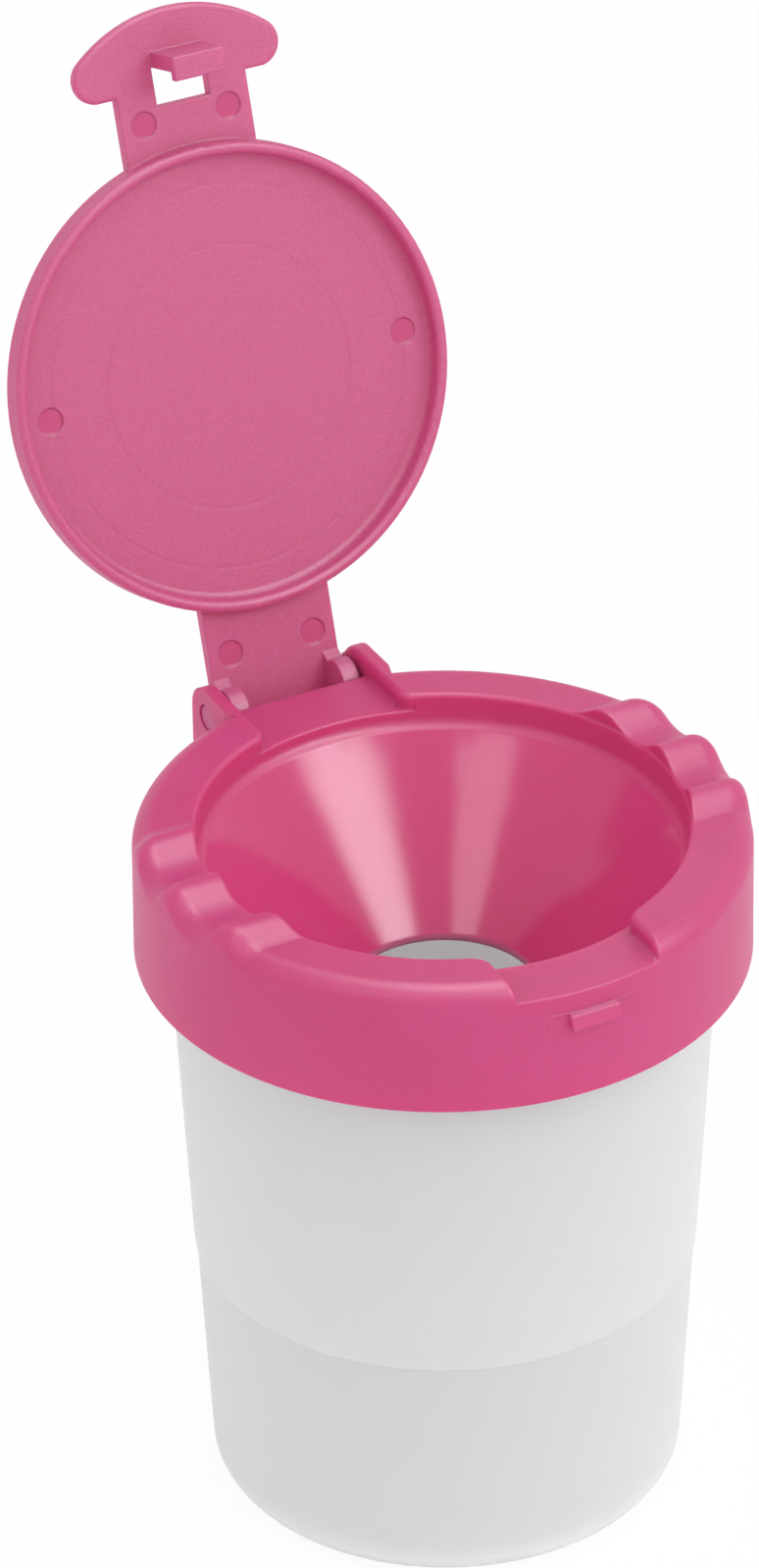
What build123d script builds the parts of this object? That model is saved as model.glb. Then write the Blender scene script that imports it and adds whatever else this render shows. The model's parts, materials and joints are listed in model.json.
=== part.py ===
# Paint cup with a funnel lid and a hinged closing cap
# A tapered translucent beaker holds the paint. A pink funnel lid snaps over its lip, so that paint runs back
# inside when the cup tips over. A pink cap on the lid's hinge plugs the funnel and latches at the front.
# Millimetres. The origin is the middle of the cup's foot, +Z is up, the latch faces -Y and the hinge +Y.
# Each piece is modelled where it sits with the cap shut, and the cap is then swung open to its stop.
import math
import os

from build123d import *

# The cup: a tapered beaker, thin walled, with a small outer step at the filling height
cup_height = 93.2
cup_foot_radius = 31.5
cup_mouth_radius = 36.2
cup_wall = 1.3
cup_floor = 1.8
cup_corner = 3.4
cup_foot_recess = 0.8
cup_foot_band = 3.2
cup_step_height = 34.8
cup_step_depth = 0.28
cup_lip_proud = 1.6
cup_lip_height = 2.4
cup_lip_round = 0.5

# The funnel lid: its skirt, rim and cone
skirt_taper = 0.2
skirt_height = 17.8
skirt_wall = 1.5
skirt_edge = 1.7
skirt_foot_round = 0.4
lid_wall = 1.5
mouth_wall_depth = 4.0
mouth_wall_taper = 0.3
mouth_edge = 0.45
mouth_foot_fillet = 1.3
cone_ledge = 1.6
cone_ledge_drop = 0.9
hole_radius = 12.3
hole_depth = 25.1
hole_lip = 0.9

# How the lid seats on the cup
seat_gap = 0.25
lip_clearance = 0.5
mouth_clearance = 1.7
snap_gap = 0.12
snap_bead_height = 1.2
stop_rib_count = 12
stop_rib_thickness = 1.2

# The rim's recesses for the cap's two strips
recess_width = 20.0
recess_clearance = 0.8
recess_floor = 1.6
recess_wall = 1.6
recess_corner = 1.4
recess_foot_fillet = 0.8

# The brush rests: three rounded ridges on each side, which run along the hinge axis
ridge_count = 3
ridge_pitch = 11.5
ridge_height = 1.75
crest_radius = 3.2
crest_clear = 0.2
groove_sink = 0.2
ridge_set_in = 0.05

# The hinge: two ears on the lid, and the pins on the cap's lugs
hinge_stand_off = 3.7
hinge_drop = 4.1
ear_thickness = 2.2
ear_drop = 11.5
ear_gusset = 6.0
ear_round_share = 0.97
pin_radius = 1.25
pin_end_gap = 0.8
pin_gap = 0.05

# The catch on the front of the skirt
nib_width = 7.0
nib_proud = 1.2
nib_height = 2.1
nib_depth = 5.1
nib_slope = 0.35

# The cap: its disc, ring and strips
open_angle = 107.7
cap_plate = 1.7
cap_proud = 0.15
ring_gap = 0.45
ring_wall = 1.5
ring_taper = 0.1
ring_root_fillet = 0.9
cap_edge = 0.9
bead_share = 0.45
strip_gap = 0.7
inset_ring_margins = (13.75, 5.75)
inset_ring_width = 0.5
inset_ring_depth = 0.12
ejector_mark_radius = 1.75
ejector_mark_depth = 0.1
mark_overlap = 0.1
disc_mark_margin = 5.35
strip_mark_spread = 12.2
latch_mark_gap = 1.95
hinge_mark_reach = 6.9

# The finger tab, the window and the latch hook
tab_overlap = 3.1
tab_side = 4.6
tab_bulge = 5.9
tab_half_width = 14.8
tab_corner = 2.3
tab_edge = 0.5
window_length = 5.15
window_side_gap = 0.2
stem_clearance = 1.2
stem_thickness = 2.0
hook_width = 7.3
foot_thickness = 1.2
foot_nib_gap = 0.08
foot_under_nib = 0.2

# The cap's hinge lugs
lug_thickness = 2.3
lug_radius = 2.7
lug_gap = 0.4
lug_root = 3.7
heel_reach = 3.0
heel_gap = 0.19
heel_round = 0.4
lug_round_share = 0.92

overrun = 1.0

# Radii and reaches that follow: the lid from the cup's mouth, the hinge and the catch from the skirt, and the
# cap from the lid
cup_lip_radius = cup_mouth_radius + cup_lip_proud
skirt_top_radius = cup_lip_radius + lip_clearance + skirt_wall
skirt_foot_radius = skirt_top_radius + skirt_taper
mouth_radius = cup_mouth_radius - cup_wall - mouth_clearance - lid_wall
cone_top_radius = mouth_radius - cone_ledge
hinge_reach = skirt_top_radius + hinge_stand_off
back_wall_reach = hinge_reach - lug_radius - lug_gap
nib_reach = skirt_top_radius + nib_proud
ring_radius = mouth_radius - ring_gap
window_far = hinge_reach + nib_reach + stem_clearance
window_near = window_far - window_length
tab_start = window_far - tab_overlap
tab_end = tab_start + tab_side + tab_bulge
half_recess = recess_width / 2
half_strip = half_recess - strip_gap
pin_length = strip_gap + ear_thickness - pin_end_gap
window_width = hook_width + 2 * window_side_gap

# Heights that follow: the lid from the cup's lip, and the shut cap from the lid's rim
seat_height = cup_height + seat_gap
recess_height = seat_height + recess_floor
recess_depth = cap_plate - cap_proud + recess_clearance
rim_height = recess_height + recess_depth
cone_top_depth = mouth_wall_depth + cone_ledge_drop
skirt_foot_height = rim_height - skirt_height
hinge_height = rim_height - hinge_drop
cap_top = rim_height + cap_proud
cap_under = cap_top - cap_plate
ring_foot = rim_height - mouth_wall_depth

# The square heels meet the lid's back wall when the cap is fully open
open_turn = math.radians(open_angle)
heel_drop = (lug_radius + lug_gap - heel_gap + heel_reach * math.cos(open_turn)) / math.sin(open_turn)


def cup_radius(height):
    """Outer radius of the upper wall, carried on straight to any height."""
    return cup_foot_radius + (cup_mouth_radius - cup_foot_radius) * height / cup_height


def turned(points, corners=()):
    """A solid turned about Z from (radius, height) points; corners are (point, fillet) pairs."""
    face = make_face(Polyline(*[(r, 0, z) for r, z in points], close=True))
    for (r, z), size in corners:
        face = fillet(face.vertices().sort_by_distance((r, 0, z))[0], size)
    return revolve(face, Axis.Z)


def block(x_low, x_high, y_low, y_high, z_low, z_high):
    """A box from its lowest to its highest corner."""
    middle = ((x_low + x_high) / 2, (y_low + y_high) / 2, (z_low + z_high) / 2)
    return Pos(*middle) * Box(x_high - x_low, y_high - y_low, z_high - z_low)


def side_profile(points, x_low, x_high):
    """A prism along X from an outline of (y, z) points."""
    face = make_face(Polyline(*[(x_low, y, z) for y, z in points], close=True))
    return extrude(face, x_high - x_low, dir=(1, 0, 0))


def ring_band(inner, outer, low, high):
    """A plain tube about Z."""
    return Pos(0, 0, (low + high) / 2) * (Cylinder(outer, high - low) - Cylinder(inner, high - low + overrun))


def make_cup():
    """The beaker: one turned shell with a standing ring, a step outside and a thick lip at the mouth."""
    lower_step = cup_radius(cup_step_height) - cup_step_depth
    foot = cup_foot_radius - cup_step_depth
    lip_under = cup_height - cup_lip_height
    outside = [
        (0, cup_foot_recess),
        (foot - cup_corner - cup_foot_band, cup_foot_recess),
        (foot - cup_corner - cup_foot_band + cup_foot_recess, 0),
        (foot, 0),
        (lower_step, cup_step_height),
        (lower_step + cup_step_depth, cup_step_height + cup_step_depth),
        (cup_radius(lip_under), lip_under),
        (cup_lip_radius, lip_under + cup_lip_radius - cup_radius(lip_under) - cup_wall / 2),
        (cup_lip_radius, cup_height),
    ]
    inside = [
        (cup_mouth_radius - cup_wall, cup_height),
        (foot - cup_wall, cup_foot_recess + cup_floor),
        (0, cup_foot_recess + cup_floor),
    ]
    corners = [
        ((foot, 0), cup_corner),
        ((foot - cup_wall, cup_foot_recess + cup_floor), cup_corner - cup_wall),
        ((cup_lip_radius, cup_height), cup_lip_round),
        ((cup_mouth_radius - cup_wall, cup_height), cup_lip_round),
    ]
    return turned(outside + inside, corners)


def cone_radius(height):
    """Radius of the funnel's upper surface at a height."""
    rise = (cone_top_radius - hole_radius) / (hole_depth - cone_top_depth)
    return hole_radius + (height - rim_height + hole_depth) * rise


def lid_shell():
    """Skirt, rim, mouth wall and funnel cone, turned in one wall thickness."""
    skirt_inside_foot = skirt_foot_radius - skirt_wall
    skirt_inside_top = skirt_top_radius - skirt_wall
    mouth_foot = mouth_radius - mouth_wall_taper
    cone_top = rim_height - cone_top_depth
    hole_top = rim_height - hole_depth
    slope = math.atan2(hole_depth - cone_top_depth, cone_top_radius - hole_radius)
    wall_across = lid_wall / math.sin(slope)
    under_rim = rim_height - lid_wall
    bead_height = cup_height - cup_lip_height
    outline = [
        (skirt_foot_radius, skirt_foot_height),
        (skirt_top_radius, rim_height),
        (mouth_radius, rim_height),
        (mouth_foot, rim_height - mouth_wall_depth),
        (cone_top_radius, cone_top),
        (hole_radius, hole_top),
        (hole_radius, hole_top - hole_lip),
        (hole_radius + lid_wall, hole_top - hole_lip),
        (cone_radius(cone_top) + wall_across, cone_top),
        (mouth_radius + lid_wall, rim_height - mouth_wall_depth),
        (mouth_radius + lid_wall, under_rim),
        (skirt_inside_top, under_rim),
        (skirt_inside_top, bead_height),
        (cup_lip_radius + snap_gap, bead_height - snap_bead_height / 2),
        (skirt_inside_top, bead_height - snap_bead_height),
        (skirt_inside_foot, skirt_foot_height),
    ]
    corners = [
        ((skirt_foot_radius, skirt_foot_height), skirt_foot_round),
        ((skirt_top_radius, rim_height), skirt_edge),
        ((mouth_radius, rim_height), mouth_edge),
        ((mouth_foot, rim_height - mouth_wall_depth), mouth_foot_fillet),
        ((skirt_inside_top, under_rim), lid_wall / 2),
        ((hole_radius, hole_top), hole_lip / 2),
    ]
    return turned(outline, corners)


def raised_rim():
    """The band that the ridges are cut from: it stands on the rim and rounds over to the outside."""
    low = rim_height - skirt_edge
    high = rim_height + ridge_height + crest_clear
    inner = mouth_radius + mouth_edge / 2
    outer = skirt_top_radius - ridge_set_in
    band = [(inner, low), (outer, low), (outer, high), (inner, high)]
    return turned(band, [((outer, high), skirt_edge)])


def above_ridges():
    """All the room above the rim and its ridges: a prism along X with a side view of joined arcs."""
    wave_height = ridge_height + groove_sink
    half_pitch = ridge_pitch / 2
    both_radii = (half_pitch**2 + wave_height**2) / (2 * wave_height)
    groove_radius = both_radii - crest_radius
    join_angle = math.asin(half_pitch / both_radii)
    rim_angle = math.acos(1 - groove_sink / groove_radius)

    def groove_point(middle, angle):
        height = rim_height - groove_sink + groove_radius * (1 - math.cos(angle))
        return middle + groove_radius * math.sin(angle), height

    reach = skirt_foot_radius + overrun
    top = rim_height + ridge_height + crest_clear + overrun
    first = -(ridge_count - 1) / 2 * ridge_pitch
    arcs = []
    for index in range(ridge_count + 1):
        middle = first + (index - 0.5) * ridge_pitch
        start = -join_angle if index > 0 else rim_angle
        end = join_angle if index < ridge_count else -rim_angle
        arcs.append([groove_point(middle, angle) for angle in (start, (start + end) / 2, end)])
        if index < ridge_count:
            crest = middle + half_pitch
            next_side = groove_point(middle + ridge_pitch, -join_angle)
            arcs.append([groove_point(middle, join_angle), (crest, rim_height + ridge_height), next_side])
    curves = [ThreePointArc(*[(-reach, y, z) for y, z in arc]) for arc in arcs]
    frame = [arcs[-1][-1], (reach, rim_height), (reach, top), (-reach, top), (-reach, rim_height), arcs[0][0]]
    frame_line = Polyline(*[(-reach, y, z) for y, z in frame])
    side = make_face([edge for curve in [*curves, frame_line] for edge in curve.edges()])
    return extrude(side, 2 * reach, dir=(1, 0, 0))


def recess_shell(side):
    """The floor and cheeks of one strip recess, under the rim; side is -1 at the latch and 1 at the hinge."""
    half = half_recess + recess_wall
    y_low, y_high = sorted((side * mouth_radius / 2, side * skirt_foot_radius))
    box = block(-half, half, y_low, y_high, seat_height, rim_height - skirt_edge)
    return box & ring_band(mouth_radius, skirt_top_radius - skirt_wall / 2, seat_height, rim_height)


def recess_cut(side, reach):
    """The room for one strip, open to the mouth and to the outside, with a rounded foot along each cheek."""
    inner = mouth_radius / 2
    y_low, y_high = sorted((side * inner, side * reach))
    cut = block(-half_recess, half_recess, y_low, y_high, recess_height, rim_height + ridge_height)
    floor_edges = cut.edges().filter_by(Axis.Y).group_by(Axis.Z)[0]
    return fillet(floor_edges, recess_foot_fillet)


def recess_corner_cut(side_x, side_y):
    """What rounds the corner between a recess's cheek and the mouth wall, from the floor upwards."""
    centre_x = half_recess + recess_corner
    centre_reach = mouth_radius + recess_corner
    centre_y = math.sqrt(centre_reach**2 - centre_x**2)
    meet_share = (mouth_radius - mouth_wall_taper) / centre_reach
    outline = [
        (side_x * half_recess, side_y * centre_y),
        (side_x * centre_x * meet_share, side_y * centre_y * meet_share),
        (side_x * half_recess, side_y * centre_y * meet_share),
    ]
    height = recess_depth + ridge_height
    corner = extrude(make_face(Polyline(*outline, close=True)), height, dir=(0, 0, 1))
    rounder = Cylinder(recess_corner, height + overrun)
    corner -= Pos(side_x * centre_x, side_y * centre_y, height / 2) * rounder
    return Pos(0, 0, recess_height) * corner


def hinge_ears():
    """Two ears joined by the straight back wall: rounded about the pin, with a gusset down to the skirt."""
    back = hinge_reach + hinge_drop
    low = hinge_height - ear_drop
    inner_y = mouth_radius + lid_wall
    outline = [
        (inner_y, rim_height),
        (back, rim_height),
        (back, low + ear_gusset),
        (skirt_foot_radius, low),
        (inner_y, low),
    ]
    wall_low = hinge_height - ear_drop / 2
    ears = block(-half_recess, half_recess, inner_y, back_wall_reach, wall_low, recess_height)
    for side in (-1, 1):
        x_low, x_high = sorted((side * half_recess, side * (half_recess + ear_thickness)))
        ear = side_profile(outline, x_low, x_high)
        corner = ear.edges().filter_by(Axis.X).sort_by_distance((0, back, rim_height))[0]
        ears += fillet(corner, hinge_drop * ear_round_share)
    hole = Cylinder(pin_radius + pin_gap, 2 * skirt_foot_radius)
    hole = Pos(0, hinge_reach, hinge_height) * Rot(0, 90, 0) * hole
    return ears - hole


def catch_nib():
    """The wedge on the skirt that the cap's hook passes over."""
    inner_y = -skirt_top_radius + skirt_wall / 2
    top = rim_height - nib_depth
    outline = [
        (inner_y, top),
        (-nib_reach, top - nib_slope),
        (-nib_reach, top - nib_height),
        (inner_y, top - nib_height),
    ]
    return side_profile(outline, -nib_width / 2, nib_width / 2)


def stop_ribs():
    """Short ribs under the rim that rest on the cup's lip."""
    inner = cup_mouth_radius - cup_wall
    outer = skirt_top_radius - skirt_wall / 2
    half_rib = stop_rib_thickness / 2
    rib = block(inner, outer, -half_rib, half_rib, seat_height, rim_height - lid_wall / 2)
    ribs = [Rot(0, 0, (index + 0.5) * 360 / stop_rib_count) * rib for index in range(stop_rib_count)]
    return Part() + ribs


def cup_room():
    """The space that the cup's wall and lip take inside the lid, with the seat and snap gaps."""
    low = skirt_foot_height - ear_drop
    return ring_band(mouth_radius / 2, skirt_top_radius - skirt_wall, low, seat_height)


def make_funnel_lid():
    """The lid: shell, brush rests, recesses, ears, catch, and the stops that rest on the cup's lip."""
    lid = lid_shell() + raised_rim()
    lid -= above_ridges()
    lid += stop_ribs() + catch_nib()
    lid += recess_shell(-1) + recess_shell(1)
    lid += hinge_ears() - cup_room()
    lid -= recess_cut(-1, skirt_foot_radius + overrun)
    lid -= recess_cut(1, hinge_reach + hinge_drop + overrun)
    for side_x in (-1, 1):
        for side_y in (-1, 1):
            lid -= recess_corner_cut(side_x, side_y)
    return lid


def marks_below(spots, height, radius, depth):
    """Shallow round ejector marks in a face that looks down at the given height."""
    return [Pos(x, y, height + depth / 2) * Cylinder(radius, depth + mark_overlap) for x, y in spots]


def cap_disc():
    """The disc and its plug ring, turned, with the two faint rings inside."""
    foot_radius = ring_radius - ring_taper
    outline = [
        (0, cap_top),
        (ring_radius, cap_top),
        (foot_radius, ring_foot),
        (foot_radius - ring_wall, ring_foot),
        (foot_radius - ring_wall - ring_taper, cap_under),
        (0, cap_under),
    ]
    corners = [
        ((ring_radius, cap_top), cap_edge),
        ((foot_radius, ring_foot), ring_wall * bead_share),
        ((foot_radius - ring_wall, ring_foot), ring_wall * bead_share),
        ((foot_radius - ring_wall - ring_taper, cap_under), ring_root_fillet),
    ]
    return turned(outline, corners)


def finger_tab():
    """The latch strip's mushroom end, in plan: a straight near side, rounded ears and a large far arc."""
    near = hinge_reach - tab_start
    far = hinge_reach - tab_end
    side_y = far + tab_bulge
    left_end = (-tab_half_width, side_y)
    right_end = (tab_half_width, side_y)
    arc = ThreePointArc(left_end, (0, far), right_end)
    sides = Polyline(right_end, (tab_half_width, near), (-tab_half_width, near), left_end)
    plan = make_face([*arc.edges(), *sides.edges()])
    for x in (-tab_half_width, tab_half_width):
        plan = fillet(plan.vertices().sort_by_distance((x, near, 0))[0], tab_corner)
        plan = fillet(plan.vertices().sort_by_distance((x, side_y, 0))[0], tab_corner / 2)
    tab = Pos(0, 0, cap_under) * extrude(plan, cap_plate, dir=(0, 0, 1))
    level = [edge for edge in tab.edges() if abs(edge.tangent_at(0.5).Z) < 0.5]
    rims = [edge for edge in level if edge.length > tab_corner / 4]
    return fillet(rims, tab_edge)


def latch_hook():
    """The stem beyond the window, and the foot that turns back under the catch."""
    foot_top = rim_height - nib_depth - nib_height - foot_under_nib
    foot_bottom = foot_top - foot_thickness
    tip_y = -nib_reach - foot_nib_gap
    inner_y = hinge_reach - window_far
    outer_y = inner_y - stem_thickness
    outline = [
        (outer_y, cap_under + cap_plate / 2),
        (outer_y, foot_bottom),
        (tip_y, foot_bottom),
        (tip_y, foot_top),
        (inner_y, foot_top),
        (inner_y, cap_under + cap_plate / 2),
    ]
    return side_profile(outline, -hook_width / 2, hook_width / 2)


def hinge_lugs():
    """Two lugs under the strip's end with the pins, and square heels that stop the cap when it is open."""
    outline = [
        (hinge_reach - lug_root, cap_under + cap_plate / 2),
        (hinge_reach - lug_root, cap_under),
        (hinge_reach - lug_radius, cap_under - lug_root + lug_radius),
        (hinge_reach - lug_radius, hinge_height - lug_radius),
        (hinge_reach, hinge_height - lug_radius),
        (hinge_reach + heel_reach, hinge_height - heel_drop),
        (hinge_reach + heel_reach, cap_under + cap_plate / 2),
    ]
    lugs = []
    for side in (-1, 1):
        outside = side * half_strip
        x_low, x_high = sorted((outside - side * lug_thickness, outside))
        lug = side_profile(outline, x_low, x_high)
        along = lug.edges().filter_by(Axis.X)
        round_edge = along.sort_by_distance((outside, hinge_reach - lug_radius, hinge_height - lug_radius))[0]
        lug = fillet(round_edge, lug_radius * lug_round_share)
        heel = lug.edges().filter_by(Axis.X).sort_by_distance(
            (outside, hinge_reach + heel_reach, hinge_height - heel_drop))[0]
        lugs.append(fillet(heel, heel_round))
        pin_middle = outside + side * (pin_length - lug_thickness / 2) / 2
        pin = Cylinder(pin_radius, pin_length + lug_thickness / 2)
        lugs.append(Pos(pin_middle, hinge_reach, hinge_height) * Rot(0, 90, 0) * pin)
    return Part() + lugs


def make_hinged_cap():
    """The whole cap where it lies when shut."""
    ring_middle = ring_radius - ring_wall / 2
    cap = cap_disc() + finger_tab()
    strip_start = hinge_reach - tab_start - tab_edge
    cap += block(-half_strip, half_strip, strip_start, -ring_middle, cap_under, cap_top)
    cap += block(-half_strip, half_strip, ring_middle, hinge_reach + heel_reach, cap_under, cap_top)
    cap -= block(-window_width / 2, window_width / 2, hinge_reach - window_far, hinge_reach - window_near,
                 cap_under - overrun, cap_top + overrun)
    cap += latch_hook() + hinge_lugs()
    disc_mark_reach = ring_radius - disc_mark_margin
    latch_mark_reach = window_near - latch_mark_gap
    spots = [(side * disc_mark_reach, 0) for side in (-1, 1)]
    spots += [(side * strip_mark_spread / 2, hinge_reach - reach)
              for reach in (latch_mark_reach, hinge_mark_reach) for side in (-1, 1)]
    cap -= marks_below(spots, cap_under, ejector_mark_radius, ejector_mark_depth)
    for margin in inset_ring_margins:
        radius = ring_radius - margin
        cap -= ring_band(radius - inset_ring_width / 2, radius + inset_ring_width / 2,
                         cap_under - inset_ring_depth, cap_under + inset_ring_depth)
    return cap


def swung(piece, degrees):
    """A piece of the cap turned about the hinge pins; negative degrees open it."""
    turned_piece = Rot(degrees, 0, 0) * Pos(0, -hinge_reach, -hinge_height) * piece
    return Pos(0, hinge_reach, hinge_height) * turned_piece


os.makedirs("parts", exist_ok=True)
pieces = {
    "cup": make_cup(),
    "funnel_lid": make_funnel_lid(),
    "hinged_cap": swung(make_hinged_cap(), -open_angle),
}
for name, piece in pieces.items():
    export_step(piece, f"parts/{name}.step")
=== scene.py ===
import json
import math

import bpy
from mathutils import Matrix, Vector

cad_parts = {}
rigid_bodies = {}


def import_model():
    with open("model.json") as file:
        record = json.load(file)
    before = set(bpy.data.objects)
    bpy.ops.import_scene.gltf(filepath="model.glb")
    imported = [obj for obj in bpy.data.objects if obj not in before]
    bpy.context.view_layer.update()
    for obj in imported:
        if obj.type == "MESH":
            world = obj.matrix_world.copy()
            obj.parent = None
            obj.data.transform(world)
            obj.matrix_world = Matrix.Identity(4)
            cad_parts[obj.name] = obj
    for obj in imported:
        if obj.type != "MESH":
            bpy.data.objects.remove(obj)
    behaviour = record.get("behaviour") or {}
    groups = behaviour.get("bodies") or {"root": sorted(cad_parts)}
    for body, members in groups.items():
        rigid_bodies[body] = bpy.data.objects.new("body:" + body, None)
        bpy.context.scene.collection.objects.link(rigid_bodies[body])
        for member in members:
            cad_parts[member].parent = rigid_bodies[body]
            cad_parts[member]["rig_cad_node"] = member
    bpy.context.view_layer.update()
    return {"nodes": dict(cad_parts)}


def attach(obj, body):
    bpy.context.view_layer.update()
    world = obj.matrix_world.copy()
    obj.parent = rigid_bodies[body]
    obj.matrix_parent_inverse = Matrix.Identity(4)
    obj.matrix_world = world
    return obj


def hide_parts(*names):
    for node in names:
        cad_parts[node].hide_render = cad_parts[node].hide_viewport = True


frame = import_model()
nodes = frame["nodes"]


# The cup is a tapered beaker of natural polypropylene, moulded in one thin wall. It is milky: light goes
# through and spreads in it, so nothing shows sharply through it, and it shines softly. The frame's own cup
# is shown, standing on its foot ring.
class Link:
    """A value that changes over a surface; the shader works out its sums, products and powers."""

    def __init__(self, finish, socket):
        self.finish = finish
        self.socket = socket

    def maths(self, operation, first, second=0.0):
        return self.finish.add("ShaderNodeMath", {"operation": operation}, {0: first, 1: second})[0]

    def __add__(self, other):
        return self.maths("ADD", self, other)

    def __sub__(self, other):
        return self.maths("SUBTRACT", self, other)

    def __mul__(self, other):
        return self.maths("MULTIPLY", self, other)

    def __pow__(self, other):
        return self.maths("POWER", self, other)

    def __rsub__(self, other):
        return self.maths("SUBTRACT", other, self)

    def __abs__(self):
        return self.maths("ABSOLUTE", self)

    def between(self, low, high):
        """0 below the low value, 1 above the high value, and a smooth ramp from one to the other."""
        settings = {"interpolation_type": "SMOOTHSTEP"}
        sockets = {"Value": self, "From Min": low, "From Max": high}
        return self.finish.add("ShaderNodeMapRange", settings, sockets)[0]


class Finish:
    """A plastic's material: one main shader, and a method that adds any other node."""

    def __init__(self, name, **constants):
        self.material = bpy.data.materials.new(name)
        self.material.use_nodes = True
        self.nodes = self.material.node_tree.nodes
        self.links = self.material.node_tree.links
        self.shader = self.nodes["Principled BSDF"]
        for socket, value in constants.items():
            self.shader.inputs[socket.replace("_", " ")].default_value = value

    def add(self, kind, settings=None, sockets=None):
        node = self.nodes.new(kind)
        for setting, value in (settings or {}).items():
            setattr(node, setting, value)
        for socket, value in (sockets or {}).items():
            self.set(node.inputs[socket], value)
        return [Link(self, output) for output in node.outputs]

    def set(self, socket, value):
        if isinstance(value, Link):
            self.links.new(value.socket, socket)
        else:
            socket.default_value = value

    def drive(self, **sockets):
        for socket, value in sockets.items():
            self.set(self.shader.inputs[socket.replace("_", " ")], value)

    def place(self):
        """Object coordinates, as three Links and as one vector Link."""
        vector = self.add("ShaderNodeTexCoord")[3]
        return (*self.add("ShaderNodeSeparateXYZ", {}, {0: vector}), vector)

    def noise(self, vector, scale, detail=2.0):
        return self.add("ShaderNodeTexNoise", {}, {"Vector": vector, "Scale": scale, "Detail": detail})[0]

    def mix(self, share, first, second):
        sockets = {0: share, 6: first, 7: second}
        return self.add("ShaderNodeMix", {"data_type": "RGBA"}, sockets)[2]

    def soft_edges(self, radius):
        """The surface's own direction, with every edge eased by a small radius."""
        return self.add("ShaderNodeBevel", {"samples": 6}, {"Radius": radius})[0]

    def bump(self, height, distance, normal):
        sockets = {"Height": height, "Distance": distance, "Normal": normal}
        return self.add("ShaderNodeBump", {}, sockets)[0]

    def cover(self, piece):
        piece.data.materials.clear()
        piece.data.materials.append(self.material)


millimetre = 0.001
polypropylene_ior = 1.49
cup_milk = (0.99, 0.945, 0.940, 1.0)
cup_lilac = (0.985, 0.942, 0.962, 1.0)
cloud_scale = 16.0
cloud_blend = (0.35, 0.65)
flow_scale = 140.0
flow_height = 0.04 * millimetre
cup_edge = 0.3 * millimetre
cup_finish = Finish("translucent_polypropylene", Roughness=0.38, IOR=polypropylene_ior,
                    Subsurface_Weight=1.0, Subsurface_Scale=1.0, Subsurface_Anisotropy=0.8,
                    Subsurface_Radius=(7.2 * millimetre, 7.0 * millimetre, 7.0 * millimetre))
cup_place = cup_finish.place()[-1]
cloud = cup_finish.noise(cup_place, cloud_scale, 3.0)
flow = cup_finish.noise(cup_place, flow_scale)
cup_finish.drive(Base_Color=cup_finish.mix(cloud.between(*cloud_blend), cup_milk, cup_lilac),
                 Normal=cup_finish.bump(flow, flow_height, cup_finish.soft_edges(cup_edge)))
cup_finish.cover(nodes["cup"])

# The funnel lid is one moulding of pink polypropylene: satin outside from a fine spark-eroded mould, and
# polished in the cone, where fine scratches run round. It snaps over the cup's lip. This is a copy of the
# frame's own lid, with its edges rounded along the brush rests' waves, and with wider pin holes.
rim_height = 97.4 * millimetre
rim_radius = 39.85 * millimetre
rim_round = 3.0 * millimetre
mouth_cut_radius = 31.63 * millimetre
mouth_round = 0.75 * millimetre
ridge_pitch = 11.5 * millimetre
ridge_top = 1.75 * millimetre
groove_sink = 0.2 * millimetre
crest_radius = 3.2 * millimetre
ear_outside = 12.2 * millimetre
half_recess = 10.0 * millimetre
recess_floor = 95.06 * millimetre
cheek_round = 0.9 * millimetre
corner_round = 2.6 * millimetre
ear_round_start = 43.62 * millimetre
ear_round = 3.98 * millimetre
catch_face_mm = ((-41.4, 90.35), (-40.98, 90.35), (-40.15, 92.5), (-41.4, 92.5))
catch_half_width = 4.0 * millimetre
cheek_start = 27.0 * millimetre
cheek_steps = 40
cheek_end_share = 0.93
wedge_depth = 1.5 * corner_round
pin_axis_y = 43.5 * millimetre
pin_axis_z = 93.3 * millimetre
pin_hole_radius = 1.85 * millimetre
# A cutter stands a lead off the face that it rounds, so that no two faces lie in one plane, and goes on
# past the material by a reach. Points closer together than the weld are joined.
cut_lead = 0.02 * millimetre
cut_reach = 3.0 * millimetre
weld = 0.002 * millimetre
round_steps = 12
turn_steps = 720
round_sides = 96
edge_segments = 8
smooth_angle = math.radians(30)


def only(piece):
    """Leave one piece selected and active."""
    bpy.ops.object.select_all(action="DESELECT")
    piece.select_set(True)
    bpy.context.view_layer.objects.active = piece


def welded_copy(node, name):
    """A copy of one of the frame's pieces with its triangles joined up."""
    only(nodes[node])
    bpy.ops.object.duplicate()
    piece = bpy.context.object
    piece.name = name
    del piece["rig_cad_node"]
    piece.hide_render = piece.hide_viewport = False
    bpy.ops.mesh.customdata_custom_splitnormals_clear()
    bpy.ops.object.mode_set(mode="EDIT")
    bpy.ops.mesh.select_all(action="SELECT")
    bpy.ops.mesh.remove_doubles(threshold=weld)
    bpy.ops.object.mode_set(mode="OBJECT")
    return piece


def carve(piece, cutter, operation="DIFFERENCE"):
    """Cut a tool out of a piece, or join it on, and drop the tool."""
    only(piece)
    bpy.ops.object.modifier_add(type="BOOLEAN")
    change = piece.modifiers[-1]
    change.operation, change.object, change.solver = operation, cutter, "EXACT"
    bpy.ops.object.modifier_apply(modifier=change.name)
    bpy.data.objects.remove(cutter)


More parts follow.
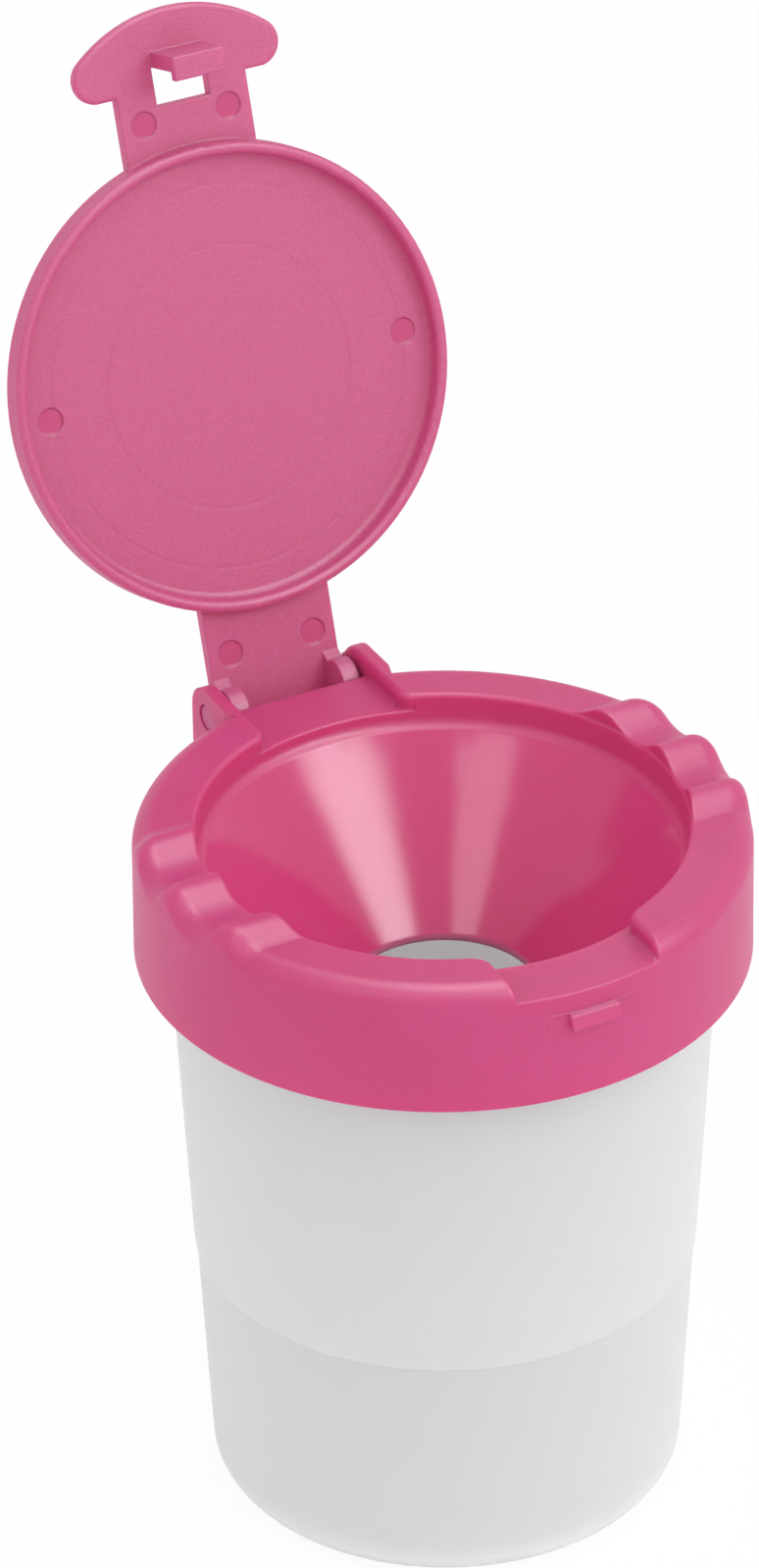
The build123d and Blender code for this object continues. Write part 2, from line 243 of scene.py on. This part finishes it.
def smooth(piece):
    """Smooth shading up to 30 degrees, led by the large faces."""
    only(piece)
    bpy.ops.object.shade_smooth_by_angle(angle=smooth_angle)
    bpy.ops.object.modifier_add(type="WEIGHTED_NORMAL")
    piece.modifiers[-1].keep_sharp = True
    bpy.ops.object.modifier_apply(modifier=piece.modifiers[-1].name)


def ridge_lift(y):
    """How far the brush rests' wave stands above the rim at a place along the cup."""
    half_pitch = ridge_pitch / 2
    wave = ridge_top + groove_sink
    both_radii = (half_pitch ** 2 + wave ** 2) / (2 * wave)
    groove_radius = both_radii - crest_radius
    nearest_crest = ridge_pitch * max(-1, min(1, round(y / ridge_pitch)))
    off_crest = abs(y - nearest_crest)
    if off_crest < half_pitch * crest_radius / both_radii:
        return ridge_top - crest_radius + math.sqrt(crest_radius ** 2 - off_crest ** 2)
    if off_crest > half_pitch:
        return 0.0
    lift = groove_radius - groove_sink - math.sqrt(groove_radius ** 2 - (half_pitch - off_crest) ** 2)
    return max(lift, 0.0) if abs(y) > ridge_pitch else lift


def spun_ring(outline, start):
    """A ring spun about the cup's axis from (radius, height) points; its gap is twice the start angle."""
    bpy.ops.object.select_all(action="DESELECT")
    bpy.ops.mesh.primitive_circle_add(vertices=len(outline))
    ring = bpy.context.object
    for vertex, (radius, height) in zip(ring.data.vertices, outline):
        vertex.co = (radius * math.sin(start), radius * math.cos(start), height)
    bpy.ops.object.mode_set(mode="EDIT")
    bpy.ops.mesh.select_all(action="SELECT")
    bpy.ops.mesh.spin(steps=turn_steps, angle=2 * (math.pi - start), center=(0, 0, 0), axis=(0, 0, 1))
    bpy.ops.mesh.select_all(action="SELECT")
    bpy.ops.mesh.remove_doubles(threshold=weld)
    bpy.ops.mesh.select_all(action="DESELECT")
    bpy.ops.mesh.select_mode(type="EDGE")
    bpy.ops.mesh.select_non_manifold()
    bpy.ops.mesh.fill_holes(sides=0)
    bpy.ops.mesh.select_all(action="SELECT")
    bpy.ops.mesh.normals_make_consistent(inside=False)
    bpy.ops.object.mode_set(mode="OBJECT")
    return ring


def edge_cutter(centre_radius, size, outward):
    """A ring whose one side is a quarter round, spun past the ears and lifted along the waves."""
    far = centre_radius + outward * (size + cut_reach)
    outline = []
    for step in range(round_steps + 1):
        angle = step / round_steps * math.pi / 2
        height = size * (math.cos(angle) - 1) + cut_lead
        outline.append((centre_radius + outward * size * math.sin(angle), height))
    outline += [(far, cut_lead - size), (far, cut_reach), (centre_radius, cut_reach)]
    cutter = spun_ring(outline, math.asin(ear_outside / rim_radius))
    for vertex in cutter.data.vertices:
        vertex.co.z += rim_height + ridge_lift(vertex.co.y)
    return cutter


def fall(past, size):
    """How far a quarter round of that size has fallen at a distance past its start."""
    past = min(max(past, 0.0), size)
    return size - math.sqrt(size ** 2 - past ** 2)


def rim_drop(radius):
    """How far the rim's top has rounded down, towards the outside or the mouth, at a radius."""
    outer_drop = fall(radius - rim_radius + rim_round, rim_round)
    return outer_drop + fall(mouth_cut_radius + mouth_round - radius, mouth_round)


def brick(low, high):
    """A block from its lowest to its highest corner."""
    bpy.ops.object.select_all(action="DESELECT")
    bpy.ops.mesh.primitive_cube_add(size=1, location=(Vector(low) + Vector(high)) / 2)
    bpy.context.object.scale = Vector(high) - Vector(low)
    bpy.ops.object.transform_apply(location=True, rotation=True, scale=True)
    return bpy.context.object


def cheek_cutter(side_x, side_y):
    """A long tool that rounds the top edge of a recess's cheek and follows the rim down to the outside."""
    outline = [(half_recess - cut_reach, cut_reach), (half_recess - cut_reach, cut_lead - cheek_round)]
    for step in range(round_steps + 1):
        angle = step / round_steps * math.pi / 2
        outline.append((half_recess + cheek_round * (1 - math.cos(angle)),
                        cheek_round * (math.sin(angle) - 1) + cut_lead))
    outline += [(half_recess + cheek_round, cut_reach)]
    bpy.ops.object.select_all(action="DESELECT")
    bpy.ops.mesh.primitive_circle_add(vertices=len(outline), fill_type="NGON")
    cutter = bpy.context.object
    for vertex, (x, height) in zip(cutter.data.vertices, outline):
        vertex.co = (side_x * x, side_y * cheek_start, height)
    bpy.ops.object.mode_set(mode="EDIT")
    bpy.ops.mesh.select_all(action="SELECT")
    cheek_end = ear_round_start + cheek_end_share * ear_round if side_y > 0 else rim_radius
    step_length = (cheek_end - cheek_start) / cheek_steps
    for _ in range(cheek_steps):
        bpy.ops.mesh.extrude_region_move(TRANSFORM_OT_translate={"value": (0, side_y * step_length, 0)})
    bpy.ops.mesh.select_all(action="SELECT")
    bpy.ops.mesh.normals_make_consistent(inside=False)
    bpy.ops.object.mode_set(mode="OBJECT")
    for vertex in cutter.data.vertices:
        along = math.hypot(half_recess, vertex.co.y)
        if side_y < 0 or along < rim_radius - rim_round:
            vertex.co.z += rim_height - rim_drop(along)
        else:
            vertex.co.z += rim_height - fall(vertex.co.y - ear_round_start, ear_round)
    carve(cutter, brick((-rim_radius, -2 * rim_radius, 0),
                        (rim_radius, 2 * rim_radius, recess_floor + cut_lead)))
    return cutter


def prism(points, push):
    """A solid pushed out from a flat outline."""
    bpy.ops.object.select_all(action="DESELECT")
    bpy.ops.mesh.primitive_circle_add(vertices=len(points), fill_type="NGON")
    solid = bpy.context.object
    for vertex, point in zip(solid.data.vertices, points):
        vertex.co = point
    bpy.ops.object.mode_set(mode="EDIT")
    bpy.ops.mesh.select_all(action="SELECT")
    bpy.ops.mesh.extrude_region_move(TRANSFORM_OT_translate={"value": push})
    bpy.ops.mesh.select_all(action="SELECT")
    bpy.ops.mesh.normals_make_consistent(inside=False)
    bpy.ops.object.mode_set(mode="OBJECT")
    return solid


def post(x, y, radius, low, high, edge):
    """An upright post with both its rims rounded."""
    bpy.ops.object.select_all(action="DESELECT")
    bpy.ops.mesh.primitive_cylinder_add(vertices=round_sides, radius=radius, depth=high - low,
                                        location=(x, y, (low + high) / 2))
    solid = bpy.context.object
    bpy.ops.object.transform_apply(location=True, rotation=True, scale=True)
    bpy.ops.object.modifier_add(type="BEVEL")
    rounding = solid.modifiers[-1]
    rounding.width, rounding.segments, rounding.limit_method = edge, edge_segments, "ANGLE"
    bpy.ops.object.modifier_apply(modifier=rounding.name)
    return solid


def mouth_corner_cutter(side_x, side_y):
    """What rounds the corner of a recess's cheek and the mouth: a wedge with a round-edged post cut out."""
    centre_x = half_recess + corner_round
    centre_radius = mouth_cut_radius + corner_round
    centre_y = math.sqrt(centre_radius ** 2 - centre_x ** 2)
    inner_share = 1 - wedge_depth / centre_radius
    corners = [(centre_x, centre_y), (half_recess - mouth_round, centre_y),
               (half_recess - mouth_round, centre_y * inner_share),
               (centre_x * inner_share, centre_y * inner_share)]
    cutter = prism([(side_x * x, side_y * y, recess_floor) for x, y in corners], (0, 0, 2 * cut_reach))
    low = recess_floor - cut_reach
    carve(cutter, post(side_x * centre_x, side_y * centre_y, corner_round,
                       low, rim_height + cut_lead, cheek_round))
    return cutter


def rod(x_low, x_high, radius):
    """A rod along the hinge's axis."""
    bpy.ops.object.select_all(action="DESELECT")
    bpy.ops.mesh.primitive_cylinder_add(vertices=round_sides, radius=radius, depth=x_high - x_low,
                                        location=((x_low + x_high) / 2, pin_axis_y, pin_axis_z),
                                        rotation=(0, math.pi / 2, 0))
    bpy.ops.object.transform_apply(location=True, rotation=True, scale=True)
    return bpy.context.object


# The rim and the mouth's edge are rounded first, then the cheeks and corners of both recesses. Last, the
# catch gets its slope and the pin holes their width.
lid = welded_copy("funnel_lid", "funnel_lid_moulding")
carve(lid, edge_cutter(rim_radius - rim_round, rim_round, 1))
carve(lid, edge_cutter(mouth_cut_radius + mouth_round, mouth_round, -1))
for side_x in (-1, 1):
    carve(lid, cheek_cutter(side_x, -1))
    carve(lid, cheek_cutter(side_x, 1))
    carve(lid, mouth_corner_cutter(side_x, -1))
    carve(lid, mouth_corner_cutter(side_x, 1))
catch_slope = [(-catch_half_width, y * millimetre, z * millimetre) for y, z in catch_face_mm]
carve(lid, prism(catch_slope, (2 * catch_half_width, 0, 0)))
carve(lid, rod(-rim_radius, rim_radius, pin_hole_radius))
smooth(lid)

lid_pink = (0.605, 0.050, 0.205, 1.0)
lid_pink_deep = (0.585, 0.042, 0.184, 1.0)
# The mouth pink is painted light: a lighter, redder pink that stands in for light bouncing round inside the
# funnel.
lid_mouth_glow_pink = (0.665, 0.055, 0.208, 1.0)
# The lip pink is painted light: a lighter pink that stands in for light glowing through the hole's thin
# lip.
lid_lip_glow_pink = (0.72, 0.22, 0.38, 1.0)
pink_depth = (4.0 * millimetre, 0.8 * millimetre, 1.6 * millimetre)
pink_depth_share = 0.35
cone_top = (92.5 * millimetre, 93.0 * millimetre)
cone_edge = (30.3 * millimetre, 30.6 * millimetre)
mouth_edge = (31.6 * millimetre, 32.4 * millimetre)
lip_top = (72.0 * millimetre, 72.6 * millimetre)
lip_edge = (13.0 * millimetre, 13.6 * millimetre)
skirt_front_y = (-38.5 * millimetre, -38.0 * millimetre)
line_z = 92.2 * millimetre
line_x = 5.9 * millimetre
line_end = 0.1 * millimetre
level_line_half = (0.06 * millimetre, 0.16 * millimetre)
down_line_half = (0.04 * millimetre, 0.14 * millimetre)
tone_scale = 60.0
tone_blend = (0.3, 0.7)
fine_grain_scale = 5200.0
scratch_scale = 1800.0
lid_bump_height = 0.1 * millimetre
lid_edge = 0.5 * millimetre
lid_roughness = 0.42
cone_polish = 0.26
grain_share, line_share, faint_line_share, scratch_share = 0.3, 0.7, 0.5, 0.04
lid_finish = Finish("pink_polypropylene_lid", IOR=polypropylene_ior, Subsurface_Weight=pink_depth_share,
                    Subsurface_Radius=pink_depth, Subsurface_Scale=1.0)
lid_x, lid_y, lid_z, lid_place = lid_finish.place()
lid_tone = lid_finish.noise(lid_place, tone_scale, 3.0)
lid_radius = (lid_x * lid_x + lid_y * lid_y) ** 0.5
in_cone = (1 - lid_z.between(*cone_top)) * (1 - lid_radius.between(*cone_edge))
lid_grain = lid_finish.noise(lid_place, fine_grain_scale)
on_front = 1 - lid_y.between(*skirt_front_y)
across = 1 - abs(lid_x).between(line_x, line_x + line_end)
line_level = (1 - abs(lid_z - line_z).between(*level_line_half)) * across
below = 1 - lid_z.between(line_z, line_z + line_end)
line_down = (1 - abs(abs(lid_x) - line_x).between(*down_line_half)) * below
lid_lines = (line_level + line_down * faint_line_share) * on_front
# A lighter pink is painted round the hole's lip: painted light for the glow of light through the thin edge.
painted_lip_glow = (1 - lid_z.between(*lip_top)) * (1 - lid_radius.between(*lip_edge))
round_cone = lid_finish.add("ShaderNodeCombineXYZ", {}, {0: lid_radius, 1: lid_z})[0]
scratches = lid_finish.noise(round_cone, scratch_scale, 3.0)
outer_tones = lid_finish.mix(lid_tone.between(*tone_blend), lid_pink, lid_pink_deep)
# Inside the mouth the pink is painted lighter and redder, as painted light for the light bouncing in the
# funnel.
in_mouth = 1 - lid_radius.between(*mouth_edge)
lid_tones_and_mouth_glow = lid_finish.mix(in_mouth, outer_tones, lid_mouth_glow_pink)
lid_relief = (lid_grain * (1 - in_cone) * grain_share + lid_lines * line_share
              + scratches * in_cone * scratch_share)
lid_finish.drive(Base_Color=lid_finish.mix(painted_lip_glow, lid_tones_and_mouth_glow, lid_lip_glow_pink),
                 Roughness=lid_roughness - in_cone * cone_polish,
                 Normal=lid_finish.bump(lid_relief, lid_bump_height, lid_finish.soft_edges(lid_edge)))
lid_finish.cover(lid)
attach(lid, "lid_body")
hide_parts("funnel_lid")

# The hinged cap is one moulding of the same plastic, with a coarser spark-eroded grain. Its disc plugs the
# funnel's mouth, and its pins turn in the lid's ears. This is a copy of the frame's own cap, with its tab's
# ends and its knuckles rounded, wider pins, deeper ejector marks and fainter rings.
open_turn = math.radians(107.7)
cap_under = 95.85 * millimetre
cap_plate = 1.7 * millimetre
faint_ring_radii = (17.5 * millimetre, 25.5 * millimetre)
faint_ring_width = 0.5 * millimetre
faint_ring_depth = 0.02 * millimetre
ring_floor_range = (0.05 * millimetre, 0.25 * millimetre)
mark_radius = 1.75 * millimetre
mark_cut_share = 1.02
mark_depth = 0.22 * millimetre
mark_edge = 0.3 * mark_depth
# The marks on one side of the shut cap. The other side mirrors them.
mark_spots = ((25.9 * millimetre, 0), (6.1 * millimetre, 36.6 * millimetre),
              (6.1 * millimetre, -35.1 * millimetre))
pin_radius = 1.65 * millimetre
pin_start = 8.6 * millimetre
pin_end = 12.0 * millimetre
half_strip = 9.3 * millimetre
strip_fill = (29.0 * millimetre, 31.0 * millimetre)
fill_inset = 0.01 * millimetre
tab_half_width = 14.8 * millimetre
tab_far_y = -49.6 * millimetre
tab_bulge = 5.9 * millimetre
tab_round = 3.2 * millimetre
tab_edge = 0.5 * millimetre
knuckle_start = 6.98 * millimetre
knuckle_end = 9.32 * millimetre
knuckle_radius = 3.0 * millimetre
hinge_point = Vector((0, pin_axis_y, pin_axis_z))
to_hinge = Matrix.Translation(hinge_point)
to_shut = to_hinge @ Matrix.Rotation(open_turn, 4, "X") @ to_hinge.inverted()


def tab_end_cutter(side):
    """What rounds one end of the finger tab: a wedge with a round-edged post cut out."""
    arc_radius = (tab_half_width ** 2 + tab_bulge ** 2) / (2 * tab_bulge)
    centre_x = tab_half_width - tab_round
    centre_y = tab_far_y + arc_radius - math.sqrt((arc_radius - tab_round) ** 2 - centre_x ** 2)
    steep = (tab_far_y + arc_radius - centre_y) / centre_x
    reach = 2 * tab_round
    corners = [(centre_x, centre_y), (centre_x + reach, centre_y - reach * steep),
               (centre_x + reach, centre_y + reach), (centre_x, centre_y + reach)]
    low = cap_under - cap_plate
    cutter = prism([(side * x, y, low) for x, y in corners], (0, 0, 3 * cap_plate))
    carve(cutter, post(side * centre_x, centre_y, tab_round, cap_under, cap_under + cap_plate, tab_edge))
    return cutter


# The cap is worked on in its shut pose, where its underside is level, and is turned open again at the end.
# The rings are made fainter, the tab's ends and the marks are cut, and the strips, pins and knuckles are
# filled out.
cap = welded_copy("hinged_cap", "hinged_cap_moulding")
cap.data.transform(to_shut)
for vertex in cap.data.vertices:
    above = vertex.co.z - cap_under
    radius = math.hypot(vertex.co.x, vertex.co.y)
    in_ring = any(abs(radius - ring) < faint_ring_width for ring in faint_ring_radii)
    if in_ring and ring_floor_range[0] < above < ring_floor_range[1]:
        vertex.co.z = cap_under + faint_ring_depth
for side in (-1, 1):
    carve(cap, tab_end_cutter(side))
    for mark_x, mark_y in mark_spots:
        carve(cap, post(side * mark_x, mark_y, mark_cut_share * mark_radius,
                        cap_under - mark_depth, cap_under + mark_depth, mark_edge))
for side in (-1, 1):
    y_low, y_high = sorted((side * strip_fill[0], side * strip_fill[1]))
    carve(cap, brick((fill_inset - half_strip, y_low, cap_under + fill_inset),
                     (half_strip - fill_inset, y_high, cap_under + cap_plate - fill_inset)), "UNION")
for start, end, radius in ((pin_start, pin_end, pin_radius), (knuckle_start, knuckle_end, knuckle_radius)):
    for side in (-1, 1):
        carve(cap, rod(*sorted((side * start, side * end)), radius), "UNION")
cap.data.transform(to_shut.inverted())
smooth(cap)

cap_pink = (0.585, 0.097, 0.254, 1.0)
cap_pink_deep = (0.565, 0.081, 0.225, 1.0)
cap_mark_pink = (0.58, 0.070, 0.218, 1.0)
coarse_grain_scale = 4200.0
fleck_scale = 2600.0
fleck_blend = (0.35, 0.65)
cap_bump_height = 0.05 * millimetre
cap_edge = 0.4 * millimetre
cap_roughness = 0.46
mark_polish = 0.2
mark_blend = (0.97 * mark_radius, 1.03 * mark_radius)
mark_blend_top = (cap_under + 1.1 * mark_depth, cap_under + 1.2 * mark_depth)
cap_finish = Finish("pink_polypropylene_cap", IOR=polypropylene_ior, Subsurface_Weight=pink_depth_share,
                    Subsurface_Radius=pink_depth, Subsurface_Scale=1.0)
cap_x, cap_y, cap_z, cap_place = cap_finish.place()
cap_tone = cap_finish.noise(cap_place, fleck_scale)
cap_grain = cap_finish.noise(cap_place, coarse_grain_scale)
from_pin_y, from_pin_z = cap_y - pin_axis_y, cap_z - pin_axis_z
shut_y = from_pin_y * math.cos(open_turn) - from_pin_z * math.sin(open_turn) + pin_axis_y
shut_z = from_pin_y * math.sin(open_turn) + from_pin_z * math.cos(open_turn) + pin_axis_z
in_marks = 0.0
for mark_x, mark_y in mark_spots:
    off_x = abs(cap_x) - mark_x
    off_y = shut_y - mark_y
    off = (off_x * off_x + off_y * off_y) ** 0.5
    in_marks = (1 - off.between(*mark_blend)) + in_marks
in_marks = in_marks * (1 - shut_z.between(*mark_blend_top))
cap_tones = cap_finish.mix(cap_tone.between(*fleck_blend), cap_pink, cap_pink_deep)
cap_relief = cap_grain * (1 - in_marks)
cap_finish.drive(Base_Color=cap_finish.mix(in_marks, cap_tones, cap_mark_pink),
                 Roughness=cap_roughness - in_marks * mark_polish,
                 Normal=cap_finish.bump(cap_relief, cap_bump_height, cap_finish.soft_edges(cap_edge)))
cap_finish.cover(cap)
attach(cap, "cap_body")
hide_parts("hinged_cap")

# The studio floor is a plain pale sheet of paper under the cup that keeps its soft shadow. Nine tenths of
# what the camera sees of it is even white light, so that it runs into the white room behind the cup.
floor_half = 3.0
seen_white_share = 0.9
bpy.ops.object.select_all(action="DESELECT")
bpy.ops.mesh.primitive_plane_add(size=2 * floor_half, location=(0, 0, 0))
floor = bpy.context.object
floor.name = "floor"
floor_finish = Finish("floor_paper", Base_Color=(0.95, 0.95, 0.95, 1.0), Roughness=0.9,
                      Specular_IOR_Level=0.0)
seen = floor_finish.add("ShaderNodeLightPath")[0]
white = floor_finish.add("ShaderNodeEmission", {}, {"Color": (1, 1, 1, 1), "Strength": 1.0})[0]
paper = Link(floor_finish, floor_finish.shader.outputs[0])
shown = floor_finish.add("ShaderNodeMixShader", {}, {0: seen * seen_white_share, 1: paper, 2: white})[0]
floor_finish.set(floor_finish.nodes["Material Output"].inputs[0], shown)
floor_finish.cover(floor)

# The studio light is a bright white room and a large soft box on the camera's right. Three more boxes, one
# on the right, one on the left and one overhead, only show as highlights on the plastic.
room_light = 0.92
box_distance = 1.5
box_tint = (0.90, 0.98, 1.0)
studio = bpy.data.worlds.new("studio")
bpy.context.scene.world = studio
studio.use_nodes = True
studio.node_tree.nodes["Background"].inputs["Color"].default_value = (1, 1, 1, 1)
studio.node_tree.nodes["Background"].inputs["Strength"].default_value = room_light


def softbox(name, azimuth, elevation, width, height, radiance):
    """A rectangular lamp that looks at the lid; its azimuth turns right from the catch, in degrees."""
    turn, lift = math.radians(azimuth), math.radians(elevation)
    away = Vector((math.sin(turn) * math.cos(lift), -math.cos(turn) * math.cos(lift), math.sin(lift)))
    lamp = bpy.data.lights.new(name, "AREA")
    lamp.shape = "RECTANGLE"
    lamp.size, lamp.size_y = width, height
    lamp.energy = radiance * math.pi * width * height
    lamp.color = box_tint
    holder = bpy.data.objects.new(name, lamp)
    bpy.context.scene.collection.objects.link(holder)
    holder.location = Vector((0, 0, rim_height)) + away * box_distance
    holder.rotation_euler = away.to_track_quat("Z", "Y").to_euler()
    return holder


softbox("softbox_right", 32, 41, 0.85, 0.64, 2.5)
for gloss_box in (softbox("softbox_right_gloss", 32, 41, 0.8, 0.64, 14.0),
                  softbox("softbox_left_gloss", -56, 47, 0.6, 0.5, 3.2),
                  softbox("softbox_top_gloss", 90, 84, 0.9, 0.7, 10.0)):
    gloss_box.visible_diffuse = False

# The camera stands at the photograph's viewing angle, above the cup and to the left of the catch, with a
# long lens and no blur.
picture_height_px = 1598
lens_px = 7382.5
camera_turn = math.radians(-27.902)
camera_lift = math.radians(33.988)
camera_distance = 0.94633
camera_centre_height = 0.060
aim_height = 0.10315
aim_right = -0.0080
camera_roll = math.radians(-0.717)
camera_data = bpy.data.cameras.new("camera")
camera = bpy.data.objects.new("camera", camera_data)
bpy.context.scene.collection.objects.link(camera)
bpy.context.scene.camera = camera
sideways = Vector((math.cos(camera_turn), math.sin(camera_turn), 0))
away = Vector((math.sin(camera_turn), -math.cos(camera_turn), 0)) * math.cos(camera_lift)
away.z = math.sin(camera_lift)
camera.location = away * camera_distance + Vector((0, 0, camera_centre_height))
aim = sideways * aim_right + Vector((0, 0, aim_height))
level = (aim - camera.location).to_track_quat("-Z", "Y").to_matrix().to_4x4()
camera.rotation_euler = (level @ Matrix.Rotation(camera_roll, 4, "Z")).to_euler()
camera_data.lens = lens_px * camera_data.sensor_width / picture_height_px
camera_data.clip_start = 0.05
camera_data.clip_end = 20.0

bpy.context.scene.view_settings.view_transform = "Standard"
